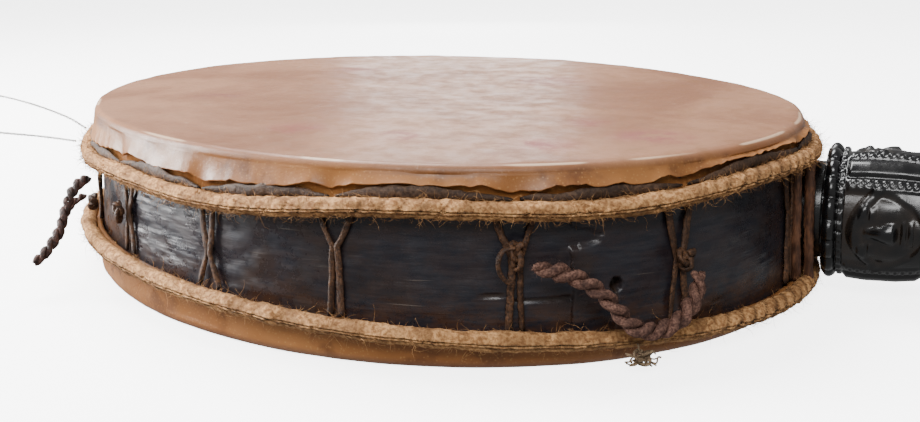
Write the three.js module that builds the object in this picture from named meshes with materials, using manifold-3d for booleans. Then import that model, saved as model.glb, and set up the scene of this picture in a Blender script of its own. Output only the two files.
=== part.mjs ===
// A shaman's two-headed frame drum with a carved dagger-shaped handle, lying on one head.
// Units are millimetres. The origin is on the underside at the middle of the drum, +Z is up
// and the handle points along +X.
import * as THREE from "three";
import { mergeVertices } from "three/addons/utils/BufferGeometryUtils.js";
import Module from "manifold-3d";

const wasm = await Module();
wasm.setup();

const radians = (degrees) => (degrees * Math.PI) / 180;
const clamp = (value, low, high) => Math.min(high, Math.max(low, value));

// Drum
const RIM_RADIUS = 185; // outside of the upper skin, averaged round the drum
const DEPTH = 86; // floor to playing skin
const OUT_OF_ROUND = 0.0625; // the bent shell is a slight oval
const LONG_AXIS = radians(-21); // direction of the oval's long axis
const SKIN = 2.2; // thickness of the hides
const GAP = 0.3; // clearance between neighbouring pieces
const WALL = 7.5; // thickness of the bent-wood shell
const FLARE = 3; // how much wider the shell is at its foot
const FLARE_START = 60; // height where the flare begins
const SIDES = 60; // facets round the drum

// Hoops
const HOOP_ROLL = 4.2; // radius of the hide-wrapped roll
const HOOP_FACETS = 7;
const UPPER_HOOP = 66.2; // mean height of the rolls' centres
const UPPER_HOOP_TILT = 4.1;
const LOWER_HOOP = 15.6;
const LOWER_HOOP_TILT = -8.6;
const HOOP_WAVE = 1.6; // the lacing pulls the upper hoop into shallow waves
const HOOP_WAVES = 7;
const WAVE_CREST = radians(288);
const TILT_AXIS = radians(24); // the upper hoop is highest and the lower one lowest here

// Lap joint and hole of the shell
const LAP_START = radians(310); // the outer end's edge, a step on the surface
const LAP_SPAN = radians(31);
const LAP_THICKNESS = 1.9;
const CORD_HOLE_ANGLE = radians(315.5);
const CORD_HOLE_HEIGHT = 33;
const CORD_HOLE_RADIUS = 2.6;

// Lacing: one hide thong that zigzags between the hoops
const THONG = 2.1; // thickness
const THONG_WIDTH = 4.4;
const LACING_ANGLES = [350, 324, 303, 280.5, 259, 237, 214, 191, 168.5, 146, 123.5, 101, 78.5, 56, 33.5, 10];
const RUN_HEIGHT = 5; // the flat runs above the upper hoop
const RUN_THICKNESS = 2.8;

// Handle
const HANDLE_HEIGHT = 38.6; // height of its axis at the shell
const HANDLE_RISE = radians(1.2); // it points slightly upwards
const HANDLE_SIDES = 36;
const FACE_COUNT = 3;
const FACE_DIRECTION = radians(186); // the first face looks sideways, towards -Y
const COLLAR_LOBES = 18;

const UPPER_SKIN_OUTSIDE = RIM_RADIUS;
const LOWER_SKIN_OUTSIDE = RIM_RADIUS + FLARE;
const SHELL_TOP = DEPTH - SKIN - GAP;
const SHELL_FOOT = SKIN + GAP;

const oval = (angle) => 1 + OUT_OF_ROUND * Math.cos(2 * (angle - LONG_AXIS));
const hoopWave = (angle) => HOOP_WAVE * Math.cos(HOOP_WAVES * (angle - WAVE_CREST));
const upperHoopHeight = (angle) =>
  UPPER_HOOP + UPPER_HOOP_TILT * Math.cos(angle - TILT_AXIS) + hoopWave(angle);
const lowerHoopHeight = (angle) => LOWER_HOOP + LOWER_HOOP_TILT * Math.cos(angle - TILT_AXIS);
const shellRadius = (z) =>
  RIM_RADIUS - SKIN - GAP + FLARE * clamp((FLARE_START - z) / FLARE_START, 0, 1);

// The lap's extra thickness fades to nothing away from its edge.
const lapAt = (angle) => {
  const along = ((angle - LAP_START) % (2 * Math.PI) + 2 * Math.PI) % (2 * Math.PI) / LAP_SPAN;
  return along < 1 ? LAP_THICKNESS * (1 - along) : 0;
};

const drumPoint = (angle, radius, z) => {
  const r = radius * oval(angle);
  return new THREE.Vector3(r * Math.cos(angle), r * Math.sin(angle), z);
};

// Moves every vertex of a geometry with a function of its position.
function warp(geometry, move) {
  const position = geometry.attributes.position;
  const point = new THREE.Vector3();
  for (let i = 0; i < position.count; i += 1) {
    point.fromBufferAttribute(position, i);
    const moved = move(point);
    position.setXYZ(i, moved.x, moved.y, moved.z);
  }
  return geometry;
}

function signedVolume(geometry) {
  const position = geometry.attributes.position;
  const [a, b, c] = [new THREE.Vector3(), new THREE.Vector3(), new THREE.Vector3()];
  let sum = 0;
  for (let i = 0; i < geometry.index.count; i += 3) {
    a.fromBufferAttribute(position, geometry.index.getX(i));
    b.fromBufferAttribute(position, geometry.index.getX(i + 1));
    c.fromBufferAttribute(position, geometry.index.getX(i + 2));
    sum += a.dot(b.cross(c)) / 6;
  }
  return sum;
}

// Merges shared vertices, drops collapsed triangles and turns the faces outwards.
function closed(geometry) {
  geometry.deleteAttribute("normal");
  geometry.deleteAttribute("uv");
  const merged = mergeVertices(geometry, 1e-4);
  const kept = [];
  for (let i = 0; i < merged.index.count; i += 3) {
    const [a, b, c] = [0, 1, 2].map((k) => merged.index.getX(i + k));
    if (a !== b && b !== c && c !== a) kept.push(a, b, c);
  }
  merged.setIndex(kept);
  if (signedVolume(merged) < 0) {
    const turned = [];
    for (let i = 0; i < kept.length; i += 3) turned.push(kept[i], kept[i + 2], kept[i + 1]);
    merged.setIndex(turned);
  }
  return merged;
}

function toManifold(geometry) {
  const merged = closed(geometry);
  return new wasm.Manifold(
    new wasm.Mesh({
      numProp: 3,
      vertProperties: new Float32Array(merged.attributes.position.array),
      triVerts: new Uint32Array(merged.index.array),
    })
  );
}

function fromManifold(solid) {
  const mesh = solid.getMesh();
  const geometry = new THREE.BufferGeometry();
  geometry.setAttribute("position", new THREE.BufferAttribute(mesh.vertProperties, 3));
  geometry.setIndex(new THREE.BufferAttribute(mesh.triVerts, 1));
  return geometry;
}

// A solid of revolution about Z whose profile is a list of [radius, height].
function turned(profile, move, segments = SIDES) {
  const points = profile.map(([r, z]) => new THREE.Vector2(r, z));
  const lathe = new THREE.LatheGeometry(points, segments);
  lathe.rotateX(Math.PI / 2);
  return warp(lathe, (p) => {
    const angle = Math.atan2(p.y, p.x);
    return move(angle, Math.hypot(p.x, p.y), p.z);
  });
}

// Shell ----------------------------------------------------------------

function lapBoard() {
  const height = UPPER_HOOP - LOWER_HOOP - 2 * HOOP_ROLL - 4;
  const board = new THREE.BoxGeometry(1, 1, 1, 6, 1, 1);
  return warp(board, (p) => {
    const along = p.x + 0.5;
    const angle = LAP_START + along * LAP_SPAN;
    const middle = (upperHoopHeight(angle) + lowerHoopHeight(angle)) / 2;
    const z = middle + p.z * height;
    const outside = shellRadius(z) + Math.max(lapAt(angle), 0.02);
    return drumPoint(angle, p.y > 0 ? outside : shellRadius(z) - WALL / 2, z);
  });
}

function shell() {
  const profile = [
    [shellRadius(SHELL_FOOT) - WALL, SHELL_FOOT],
    [shellRadius(SHELL_FOOT), SHELL_FOOT],
    [shellRadius(FLARE_START), FLARE_START],
    [shellRadius(SHELL_TOP), SHELL_TOP - 1.5],
    [shellRadius(SHELL_TOP) - 1.5, SHELL_TOP],
    [shellRadius(SHELL_TOP) - WALL, SHELL_TOP],
    [shellRadius(SHELL_FOOT) - WALL, SHELL_FOOT],
  ];
  const ring = toManifold(turned(profile, drumPoint));
  const drill = new THREE.CylinderGeometry(CORD_HOLE_RADIUS, CORD_HOLE_RADIUS, 4 * WALL, 10);
  drill.rotateZ(Math.PI / 2);
  drill.rotateZ(CORD_HOLE_ANGLE);
  const centre = drumPoint(CORD_HOLE_ANGLE, RIM_RADIUS - SKIN - WALL / 2, CORD_HOLE_HEIGHT);
  drill.translate(centre.x, centre.y, centre.z);
  return fromManifold(ring.add(toManifold(lapBoard())).subtract(toManifold(drill)));
}

// Skins ----------------------------------------------------------------

const EDGE_ROUND = 2.6; // the skin's soft bend over the shell's rim

function upperSkin() {
  const hem = UPPER_HOOP - DEPTH - 1;
  const profile = [
    [0, 0],
    [UPPER_SKIN_OUTSIDE - 7, 0],
    [UPPER_SKIN_OUTSIDE - 1.4, -0.7],
    [UPPER_SKIN_OUTSIDE, -EDGE_ROUND],
    [UPPER_SKIN_OUTSIDE, hem],
    [UPPER_SKIN_OUTSIDE - SKIN, hem],
    [UPPER_SKIN_OUTSIDE - SKIN, -SKIN - 1.4],
    [UPPER_SKIN_OUTSIDE - SKIN - 1.6, -SKIN],
    [0, -SKIN],
  ];
  const move = (angle, r, y) =>
    drumPoint(angle, r, y > hem + 1 ? DEPTH + y : upperHoopHeight(angle) - 1);
  return turned(profile, move);
}

function lowerSkin() {
  const hem = LOWER_HOOP + 1;
  const profile = [
    [0, 0],
    [LOWER_SKIN_OUTSIDE - 7, 0],
    [LOWER_SKIN_OUTSIDE - 1.4, 0.7],
    [LOWER_SKIN_OUTSIDE, EDGE_ROUND],
    [LOWER_SKIN_OUTSIDE, hem],
    [LOWER_SKIN_OUTSIDE - SKIN, hem],
    [LOWER_SKIN_OUTSIDE - SKIN, SKIN],
    [0, SKIN],
  ];
  const move = (angle, r, y) => drumPoint(angle, r, y < hem - 1 ? y : lowerHoopHeight(angle) + 1);
  return turned(profile, move);
}

// Hoops ----------------------------------------------------------------

function hoop(skinOutside, heightAt) {
  const radius = skinOutside + GAP + HOOP_ROLL;
  const torus = new THREE.TorusGeometry(radius, HOOP_ROLL, HOOP_FACETS, SIDES);
  return warp(torus, (p) => {
    const angle = Math.atan2(p.y, p.x);
    return drumPoint(angle, Math.hypot(p.x, p.y), heightAt(angle) + p.z);
  });
}

// Lacing ---------------------------------------------------------------

// The pull on each crossing differs: how far its two strands stand apart at the top and the
// foot, and how high they are pinched together (0 at the foot, 1 at the top).
function strandSpread(index) {
  const wobble = Math.sin(2.4 * index + 0.6);
  return { top: 5.5 + 2.5 * wobble, foot: 4.5 - 2 * wobble, pinch: 0.5 + 0.16 * wobble };
}

function lacingOutline(height, { top, foot, pinch }) {
  const half = THONG_WIDTH / 2;
  const waist = (pinch - 0.5) * height;
  const notch = 0.72; // the strands touch along this share of the way to the waist
  const outline = new THREE.Shape();
  outline.moveTo(-foot - half, -height / 2);
  outline.lineTo(-foot + half, -height / 2);
  outline.lineTo(0, waist - (waist + height / 2) * (1 - notch));
  outline.lineTo(foot - half, -height / 2);
  outline.lineTo(foot + half, -height / 2);
  outline.lineTo(half + 0.5, waist);
  outline.lineTo(top + half, height / 2);
  outline.lineTo(top - half, height / 2);
  outline.lineTo(0, waist + (height / 2 - waist) * (1 - notch));
  outline.lineTo(-top + half, height / 2);
  outline.lineTo(-top - half, height / 2);
  outline.lineTo(-half - 0.5, waist);
  outline.closePath();
  return outline;
}

// Bends a flat piece, drawn in X (along the wall) and Y (up), onto the shell's outside.
function ontoShell(geometry, angle, middle) {
  return warp(geometry, (p) => {
    const z = middle + p.y;
    const reach = shellRadius(z) * oval(angle);
    const at = angle + p.x / reach;
    return drumPoint(at, shellRadius(z) + lapAt(at) + 2 * GAP + p.z, z);
  });
}

function lacing(index) {
  const angle = radians(LACING_ANGLES[index]);
  const top = upperHoopHeight(angle) - HOOP_ROLL + 1.2;
  const foot = lowerHoopHeight(angle) + HOOP_ROLL - 0.4;
  const outline = lacingOutline(top - foot, strandSpread(index));
  const strands = new THREE.ExtrudeGeometry(outline, { depth: THONG, bevelEnabled: false });
  return ontoShell(strands, angle, (top + foot) / 2);
}

function thongRun(index) {
  const next = (index + 1) % LACING_ANGLES.length;
  const start = radians(LACING_ANGLES[index]);
  const span = -radians((LACING_ANGLES[index] - LACING_ANGLES[next] + 360) % 360);
  const box = new THREE.BoxGeometry(1, 1, 1, 4, 1, 1);
  return warp(box, (p) => {
    const along = p.x + 0.5;
    const angle = start + span * (0.05 + 0.9 * along);
    const lens = RUN_HEIGHT * (0.16 + 0.84 * Math.sin(Math.PI * along));
    const z = upperHoopHeight(angle) + HOOP_ROLL + GAP + (p.z + 0.5) * lens;
    return drumPoint(angle, UPPER_SKIN_OUTSIDE + 0.5 + (p.y + 0.5) * RUN_THICKNESS, z);
  });
}

// Handle ---------------------------------------------------------------

const NECK_START = 186;
const COLLAR_START = 206.4;
const COLLAR_END = 212.5;
const BEADS_END = 215;
const FACE_START = 216;
const FACE_END = 251;
const BLADE_START = 318;
const TIP = 428;

// Radius of the handle without its carving: [distance from the drum's middle, radius].
const HANDLE_PROFILE = [
  [NECK_START, 23.5], [COLLAR_START - 0.4, 23.5], [COLLAR_START, 31], [208.5, 33], [COLLAR_END, 32.2],
  [COLLAR_END + 0.4, 30.4], [BEADS_END, 30.6], [FACE_START, 30.6], [226, 31.4], [240, 31], [FACE_END, 29.5],
  [256, 24], [259, 21], [262, 21], [264, 25], [270, 25.5], [272, 20], [280, 16.5], [286, 19.5], [292, 21.5],
  [298, 19.5], [304, 16.5], [311, 20], [313, 25.5], [BLADE_START, 26], [322, 27.5], [340, 24.5], [370, 18.5],
  [400, 12], [421, 6.5], [TIP, 3.4],
];

function profileRadius(x) {
  const last = HANDLE_PROFILE.length - 1;
  const next = clamp(HANDLE_PROFILE.findIndex(([at]) => at >= x), 1, last);
  const [x0, r0] = HANDLE_PROFILE[next - 1];
  const [x1, r1] = HANDLE_PROFILE[next];
  return r0 + ((r1 - r0) * (x - x0)) / (x1 - x0);
}

const bump = (value, middle, width) => Math.max(0, 1 - ((value - middle) / width) ** 2);

// Relief of one face: `down` runs from the brow (0) to the chin (1), `across` is in degrees.
function faceRelief(down, across) {
  const side = Math.abs(across);
  const halfWidth = 40 * Math.sqrt(clamp(1 - clamp(down, 0, 1) ** 3, 0, 1));
  if (down < 0 || down > 1 || side > halfWidth) return 0;
  const niche = -1.9 * clamp((halfWidth - side) / 6, 0, 1);
  const nose = 4.2 * bump(across, 0, 9) * clamp((down - 0.22) / 0.36, 0, 1) * (down < 0.64 ? 1 : 0);
  const brow = 1.6 * bump(down, 0.14 + 0.0002 * side * side, 0.1);
  const eye = 1.5 * bump(side, 17, 8) * bump(down, 0.3, 0.12);
  const lips = 1.7 * bump(down, 0.77, 0.07) * bump(across, 0, 15);
  const cheek = 1.4 * bump(side, 20, 12) * bump(down, 0.6, 0.25);
  const chin = 1.6 * bump(across, 0, 14) * bump(down, 0.95, 0.12);
  return niche + nose + brow + eye + lips + cheek + chin;
}

// The blade has three ribs, one in line with each face, and hollow sides between them.
function bladeFactor(x, turn) {
  if (x < BLADE_START) return 1;
  const depth = 0.32 * clamp((x - BLADE_START) / 12, 0, 1);
  return 1 - depth * (0.5 - 0.5 * Math.cos(FACE_COUNT * turn)) ** 0.8;
}

function handleRadius(x, angle) {
  const turn = angle - FACE_DIRECTION;
  const sector = (2 * Math.PI) / FACE_COUNT;
  const across = ((((turn + sector / 2) % sector) + sector) % sector) - sector / 2;
  let radius = profileRadius(x) * bladeFactor(x, turn);
  if (x > COLLAR_START && x <= COLLAR_END) radius -= 1.5 * (0.5 - 0.5 * Math.cos(COLLAR_LOBES * turn));
  return radius + faceRelief((x - FACE_START) / (FACE_END - FACE_START), (across * 180) / Math.PI);
}

// Cuts along the handle: close together where it is carved, wide apart elsewhere.
function handleStations() {
  const stations = HANDLE_PROFILE.map(([x]) => x).filter((x) => x < FACE_START || x > FACE_END);
  const cuts = 13;
  for (let i = 0; i <= cuts; i += 1) stations.push(FACE_START + ((FACE_END - FACE_START) * i) / cuts);
  return stations.sort((a, b) => a - b);
}

function handle() {
  const stations = handleStations();
  const cuts = stations.length - 1;
  const rod = new THREE.CylinderGeometry(1, 1, 1, HANDLE_SIDES, cuts);
  warp(rod, (p) => {
    const x = stations[Math.round((0.5 - p.y) * cuts)];
    const onAxis = Math.hypot(p.x, p.z) < 0.5;
    const angle = Math.atan2(p.z, p.x) + FACE_DIRECTION;
    const radius = onAxis ? 0 : handleRadius(x, angle);
    return new THREE.Vector3(x, radius * Math.cos(angle), radius * Math.sin(angle));
  });
  rod.translate(-NECK_START, 0, 0);
  rod.rotateY(-HANDLE_RISE);
  rod.translate(NECK_START, 0, HANDLE_HEIGHT);
  const clearance = [
    [0, -10],
    [shellRadius(0) + GAP, -10],
    [shellRadius(0) + GAP, 0],
    [shellRadius(FLARE_START) + GAP, FLARE_START],
    [shellRadius(FLARE_START) + GAP, DEPTH + 10],
    [0, DEPTH + 10],
  ];
  return fromManifold(toManifold(rod).subtract(toManifold(turned(clearance, drumPoint))));
}

// Cords ----------------------------------------------------------------

// Routes are points given as [angle in degrees, radius, height].
const FRONT_CORD = 7.6; // thickness of the twisted cord that hangs at the front
const FRONT_CORD_ROUTE = [
  [324, 207.4, 37.5], [323.7, 209.2, 33.5], [323, 210.6, 29.5], [321.9, 212, 25.6], [320, 213.8, 22],
  [317.6, 214.8, 19.8],
  [315.3, 214.6, 20.6], [313.7, 213, 24.5], [312.7, 210.8, 29.5], [311.7, 208.6, 34.4], [310.2, 206.4, 38.8],
  [308.4, 204.6, 42.3], [306.3, 203, 44.8], [304.2, 202, 46.2],
];
const SIDE_CORD = 5.6;
const SIDE_CORD_ROUTE = [
  [221.5, 184.5, 52.5], [222.5, 189.5, 50.5], [223.8, 193.8, 46.5], [224.8, 196.6, 41], [225.6, 198.8, 35],
  [226.4, 201.6, 29.6], [227.2, 205.6, 24.8], [228, 210, 20.8], [228.6, 214.2, 17.6],
];
const WIRE = 1.4;
const WIRE_ROUTE = [
  [202, 195.6, 67], [199.4, 210, 72], [195.6, 238, 77], [192.6, 268, 79.5], [191.6, 292, 78.5],
  [194.2, 306, 74.5],
  [198.4, 302, 70], [201.4, 276, 67], [203.6, 243, 66], [207.6, 214, 66.2], [213, 191.8, 66.5],
];

// A plain tube along a route.
function tube(route, diameter, steps, facets) {
  const points = route.map(([angle, radius, z]) => {
    const a = radians(angle);
    return new THREE.Vector3(radius * Math.cos(a), radius * Math.sin(a), z);
  });
  const section = new THREE.Shape();
  for (let i = 0; i < facets; i += 1) {
    const a = (2 * Math.PI * i) / facets;
    const [x, y] = [(diameter / 2) * Math.cos(a), (diameter / 2) * Math.sin(a)];
    if (i === 0) section.moveTo(x, y);
    else section.lineTo(x, y);
  }
  section.closePath();
  return new THREE.ExtrudeGeometry(section, {
    steps,
    extrudePath: new THREE.CatmullRomCurve3(points),
    bevelEnabled: false,
  });
}

// A knotted lump: a rounded stone-like solid with half-sizes along the wall, upwards and outwards.
function lump(angleDegrees, radius, z, halfSizes) {
  const [along, up, out] = halfSizes;
  const ball = new THREE.IcosahedronGeometry(1, 1);
  ball.scale(out, along, up);
  ball.rotateZ(radians(angleDegrees));
  const a = radians(angleDegrees);
  ball.translate(radius * Math.cos(a), radius * Math.sin(a), z);
  return ball;
}

// Height above the shell at which something may lie on the lacing.
const overLacing = (angleDegrees, z) =>
  (shellRadius(z) + lapAt(radians(angleDegrees)) + THONG + 3 * GAP) * oval(radians(angleDegrees));

const KNOTS = [
  // name, angle, height, half-sizes
  ["knot_front_cord", 324, 41.5, [5.2, 5.2, 2.6]],
  ["knot_bow", 303, 49, [4, 7.5, 2.8]],
  ["knot_side_cord", 218.5, 38, [4.5, 4.5, 3]],
  ["knot_left", 236.2, 45, [4.2, 6, 2.8]],
];

// Assembly -------------------------------------------------------------

const SHELL_COLOUR = { color: 0x2b2623, roughness: 0.35 };
const HIDE_COLOUR = { color: 0xb08a6a, roughness: 0.55 };
const ROLL_COLOUR = { color: 0x9a7440, roughness: 0.85 };
const THONG_COLOUR = { color: 0x5a4636, roughness: 0.7 };
const CORD_COLOUR = { color: 0x7a5a4c, roughness: 0.8 };
const FIBRE_COLOUR = { color: 0x8a7355, roughness: 0.9 };
const WIRE_COLOUR = { color: 0x8f8c88, roughness: 0.4, metalness: 0.8 };
const HANDLE_COLOUR = { color: 0x131212, roughness: 0.25 };

const group = new THREE.Group();
const plain = (finish) => new THREE.MeshStandardMaterial({ metalness: 0, ...finish });

function put(name, geometry, finish) {
  const mesh = new THREE.Mesh(closed(geometry), plain(finish));
  mesh.name = name;
  group.add(mesh);
}

put("wooden_shell", shell(), SHELL_COLOUR);
put("upper_skin", upperSkin(), HIDE_COLOUR);
put("lower_skin", lowerSkin(), HIDE_COLOUR);
put("upper_hoop", hoop(UPPER_SKIN_OUTSIDE, upperHoopHeight), ROLL_COLOUR);
put("lower_hoop", hoop(LOWER_SKIN_OUTSIDE, lowerHoopHeight), ROLL_COLOUR);
for (let i = 0; i < LACING_ANGLES.length; i += 1) {
  const number = String(i + 1).padStart(2, "0");
  put(`lacing_${number}`, lacing(i), THONG_COLOUR);
  put(`thong_run_${number}`, thongRun(i), THONG_COLOUR);
}
for (const [name, angle, z, halfSizes] of KNOTS) {
  put(name, lump(angle, overLacing(angle, z) + halfSizes[2], z, halfSizes), THONG_COLOUR);
}
put("fibre_tuft", lump(316.5, 209.6, 7.2, [10.5, 6.4, 2.9]), FIBRE_COLOUR);
put("front_cord", tube(FRONT_CORD_ROUTE, FRONT_CORD, 16, 8), CORD_COLOUR);
put("side_cord", tube(SIDE_CORD_ROUTE, SIDE_CORD, 12, 8), CORD_COLOUR);
put("hanging_wire", tube(WIRE_ROUTE, WIRE, 36, 8), WIRE_COLOUR);
put("handle", handle(), HANDLE_COLOUR);

export default group;
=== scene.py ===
"""A shaman's two-headed frame drum: worn hides laced over a dark bent-wood shell, a black carved handle,
stiff twisted hide cords and a loop of wire. Sizes are metres, angles are measured from the handle."""

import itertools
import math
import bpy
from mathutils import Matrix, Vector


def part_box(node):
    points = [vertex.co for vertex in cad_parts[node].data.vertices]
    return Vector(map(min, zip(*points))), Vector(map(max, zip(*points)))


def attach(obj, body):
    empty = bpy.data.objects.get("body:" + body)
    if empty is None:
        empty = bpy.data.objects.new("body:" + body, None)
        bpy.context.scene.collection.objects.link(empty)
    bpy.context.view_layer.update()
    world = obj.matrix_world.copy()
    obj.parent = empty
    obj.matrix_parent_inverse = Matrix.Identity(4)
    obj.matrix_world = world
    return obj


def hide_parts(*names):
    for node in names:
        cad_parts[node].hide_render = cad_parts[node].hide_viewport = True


bl_info = {
    "name": "Frame drum",
    "version": (1, 0, 0),
    "blender": (4, 5, 0),
    "location": "3D View > Sidebar > Drum",
    "description": "Builds a laced two-headed frame drum with a carved handle",
    "category": "Add Mesh",
}

import bpy
import numpy as np
from bpy.props import FloatProperty, FloatVectorProperty, PointerProperty
from mathutils import Quaternion, Vector

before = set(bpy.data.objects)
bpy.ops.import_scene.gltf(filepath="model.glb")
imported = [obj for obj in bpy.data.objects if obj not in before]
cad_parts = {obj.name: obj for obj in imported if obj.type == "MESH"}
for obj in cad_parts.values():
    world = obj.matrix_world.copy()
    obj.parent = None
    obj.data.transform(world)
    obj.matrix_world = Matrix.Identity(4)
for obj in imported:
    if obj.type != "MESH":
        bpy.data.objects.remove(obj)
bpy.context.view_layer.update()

MM = 0.001
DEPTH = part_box("upper_skin")[1].z
LACING_ANGLES = (350, 324, 303, 280.5, 259, 237, 214, 191, 168.5, 146, 123.5, 101, 78.5, 56, 33.5, 10)


# Sizes ------------------------------------------------------------------


def length(name, description, default):
    return FloatProperty(
        name=name, description=description, default=default, unit="LENGTH", subtype="DISTANCE"
    )


def colour(name, description, default):
    return FloatVectorProperty(name=name, description=description, default=default, size=3, subtype="COLOR")


class DrumSizes(bpy.types.PropertyGroup):
    rim_radius: length("Rim radius", "Mean radius of the upper skin's edge", 0.185)
    out_of_round: FloatProperty(name="Out of round", description="How oval the shell is", default=0.0625)
    skin: length("Skin", "Thickness of the hides", 0.0022)
    gap: length("Gap", "Clearance between neighbouring pieces", 0.0003)
    wall: length("Wall", "Thickness of the bent-wood shell", 0.0075)
    flare: length("Flare", "How much wider the shell is at its foot", 0.003)
    roll: length("Hide roll", "Radius of the hide-wrapped hoops", 0.0042)
    thong: length("Thong", "Thickness of the lacing thong", 0.0021)
    thong_width: length("Thong width", "Width of one strand of the lacing", 0.0044)
    front_cord: length("Front cord", "Thickness of the twisted cord at the front", 0.0076)
    side_cord: length("Side cord", "Thickness of the twisted cord at the left", 0.0056)
    wire: length("Wire", "Thickness of the twisted wire loop", 0.0014)


class DrumColours(bpy.types.PropertyGroup):
    skin: colour("Skin", "Worn rawhide", (0.20, 0.080, 0.038))
    pale_skin: colour("Pale skin", "The head's rubbed, lighter clouds", (0.30, 0.145, 0.080))
    skirt: colour("Skirt", "The hide's untouched side", (0.24, 0.092, 0.026))
    pale_skirt: colour("Pale skirt", "Lighter clouds of the untouched side", (0.32, 0.135, 0.042))
    wood: colour("Shell", "Smoked, polished wood", (0.010, 0.010, 0.015))
    bare_wood: colour("Rubbed wood", "Where the smoke is worn off", (0.06, 0.024, 0.009))
    roll: colour("Hide roll", "Golden, fuzzy rawhide", (0.66, 0.36, 0.15))
    roll_shade: colour("Hide roll shade", "The roll's darker streaks", (0.27, 0.12, 0.042))
    strand: colour("Lacing", "Dried thong of the crossings", (0.13, 0.06, 0.027))
    strand_shade: colour("Lacing shade", "Darker streaks of the crossings", (0.03, 0.014, 0.008))
    thong: colour("Flat thong", "Thong above the upper hoop", (0.11, 0.062, 0.036))
    thong_shade: colour("Flat thong shade", "Its darker streaks", (0.04, 0.022, 0.014))
    band: colour("Neck band", "Hide beside the handle", (0.16, 0.07, 0.035))
    band_shade: colour("Neck band shade", "Its darker streaks", (0.05, 0.022, 0.013))
    cord: colour("Cord", "Twisted hide cord at the front", (0.22, 0.115, 0.08))
    cord_shade: colour("Cord shade", "Its darker streaks", (0.055, 0.022, 0.0165))
    side_cord: colour("Side cord", "Dark twisted cord at the left", (0.13, 0.06, 0.045))
    side_cord_shade: colour("Side cord shade", "Its darker streaks", (0.022, 0.012, 0.01))
    fibre: colour("Fibre", "Frayed fibre of the tuft", (0.42, 0.3, 0.18))
    fibre_shade: colour("Fibre shade", "Its darker streaks", (0.14, 0.09, 0.055))
    handle: colour("Handle", "Black polished wood", (0.003, 0.003, 0.0035))


# Shape of the drum --------------------------------------------------------

LONG_AXIS = math.radians(-21)
TILT_AXIS = math.radians(24)
UPPER_HOOP, UPPER_HOOP_TILT = 0.0662, 0.0041
LOWER_HOOP, LOWER_HOOP_TILT = 0.0156, -0.0086
HOOP_WAVE, HOOP_WAVES, WAVE_CREST = 0.0016, 7, math.radians(288)
FLARE_START = 0.060
LAP_START, LAP_SPAN, LAP_THICKNESS = math.radians(310), math.radians(31), 0.0019
CORD_HOLE = (math.radians(315.5), 0.033, 0.0026)


def sizes():
    return bpy.context.scene.drum_sizes


def colours():
    return bpy.context.scene.drum_colours


def oval(angle):
    return 1 + sizes().out_of_round * np.cos(2 * (angle - LONG_AXIS))


def upper_hoop_height(angle):
    wave = HOOP_WAVE * np.cos(HOOP_WAVES * (angle - WAVE_CREST))
    rise = 0.0042 * np.exp(-((np.mod(angle, 2 * np.pi) - math.radians(194)) / 0.36) ** 2)
    return UPPER_HOOP + UPPER_HOOP_TILT * np.cos(angle - TILT_AXIS) + wave + rise


def lower_hoop_height(angle):
    return LOWER_HOOP + LOWER_HOOP_TILT * np.cos(angle - TILT_AXIS)


def shell_radius(z):
    s = sizes()
    return s.rim_radius - s.skin - s.gap + s.flare * np.clip((FLARE_START - z) / FLARE_START, 0, 1)


def lap_at(angle):
    along = np.mod(angle - LAP_START, 2 * np.pi) / LAP_SPAN
    return np.where(along < 1, LAP_THICKNESS * (1 - along), 0.0)


def head_lift(angle):
    """The head sags a little towards the front, where the thong is pulled hardest."""
    return 0.0017 * np.sin(angle - TILT_AXIS) - 0.0010 * np.cos(angle - TILT_AXIS)


def drum_point(angle, radius, z):
    r = radius * oval(angle)
    return np.stack(np.broadcast_arrays(r * np.cos(angle), r * np.sin(angle), z), -1)


# Mesh helpers -------------------------------------------------------------


def noise(points, size, seed=0):
    """Smooth random values from -1 to 1 that change over about one size."""
    p = np.asarray(points, float) / size + 7.31 * seed
    cell = np.floor(p).astype(np.int64)
    part = p - cell
    part = part * part * (3 - 2 * part)
    total = np.zeros(p.shape[:-1])
    for corner in itertools.product((0, 1), repeat=p.shape[-1]):
        key = np.full(total.shape, seed * 7919 + 17, np.int64)
        weight = np.ones(total.shape)
        for axis, side in enumerate(corner):
            key = (key * 1103515245 + (cell[..., axis] + side) * 73856093 + 12345) & 0x7FFFFFFF
            key ^= key >> 13
            weight = weight * (part[..., axis] if side else 1 - part[..., axis])
        key = (key * 1103515245 + 12345) & 0x7FFFFFFF
        total += weight * (key / 0x3FFFFFFF - 1)
    return total


def rough(points, size, octaves=3, seed=0):
    """Noise with finer and finer noise added."""
    return sum(noise(points, size / 2**k, seed + k) / 2**k for k in range(octaves))


def wander(t, size, seed, row=0.0):
    """Noise along a line, from -1 to 1. Each row has its own course."""
    return noise(np.stack([t, 0 * t + row], -1), size, seed)


def bump(value, middle, width):
    return np.clip(1 - ((value - middle) / width) ** 2, 0, 1)


def smoothstep(value, low, high):
    t = np.clip((value - low) / (high - low), 0, 1)
    return t * t * (3 - 2 * t)


def grid_faces(rows, columns, wrap=True, start=0):
    """Quads of a grid of points, whose columns close into a ring if wrap is true."""
    across = columns if wrap else columns - 1
    row, column = np.meshgrid(np.arange(rows - 1), np.arange(across), indexing="ij")
    after = (column + 1) % columns
    this, above = row * columns, (row + 1) * columns
    quads = np.stack([this + column, this + after, above + after, above + column], -1)
    return (quads.reshape(-1, 4) + start).tolist()


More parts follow.
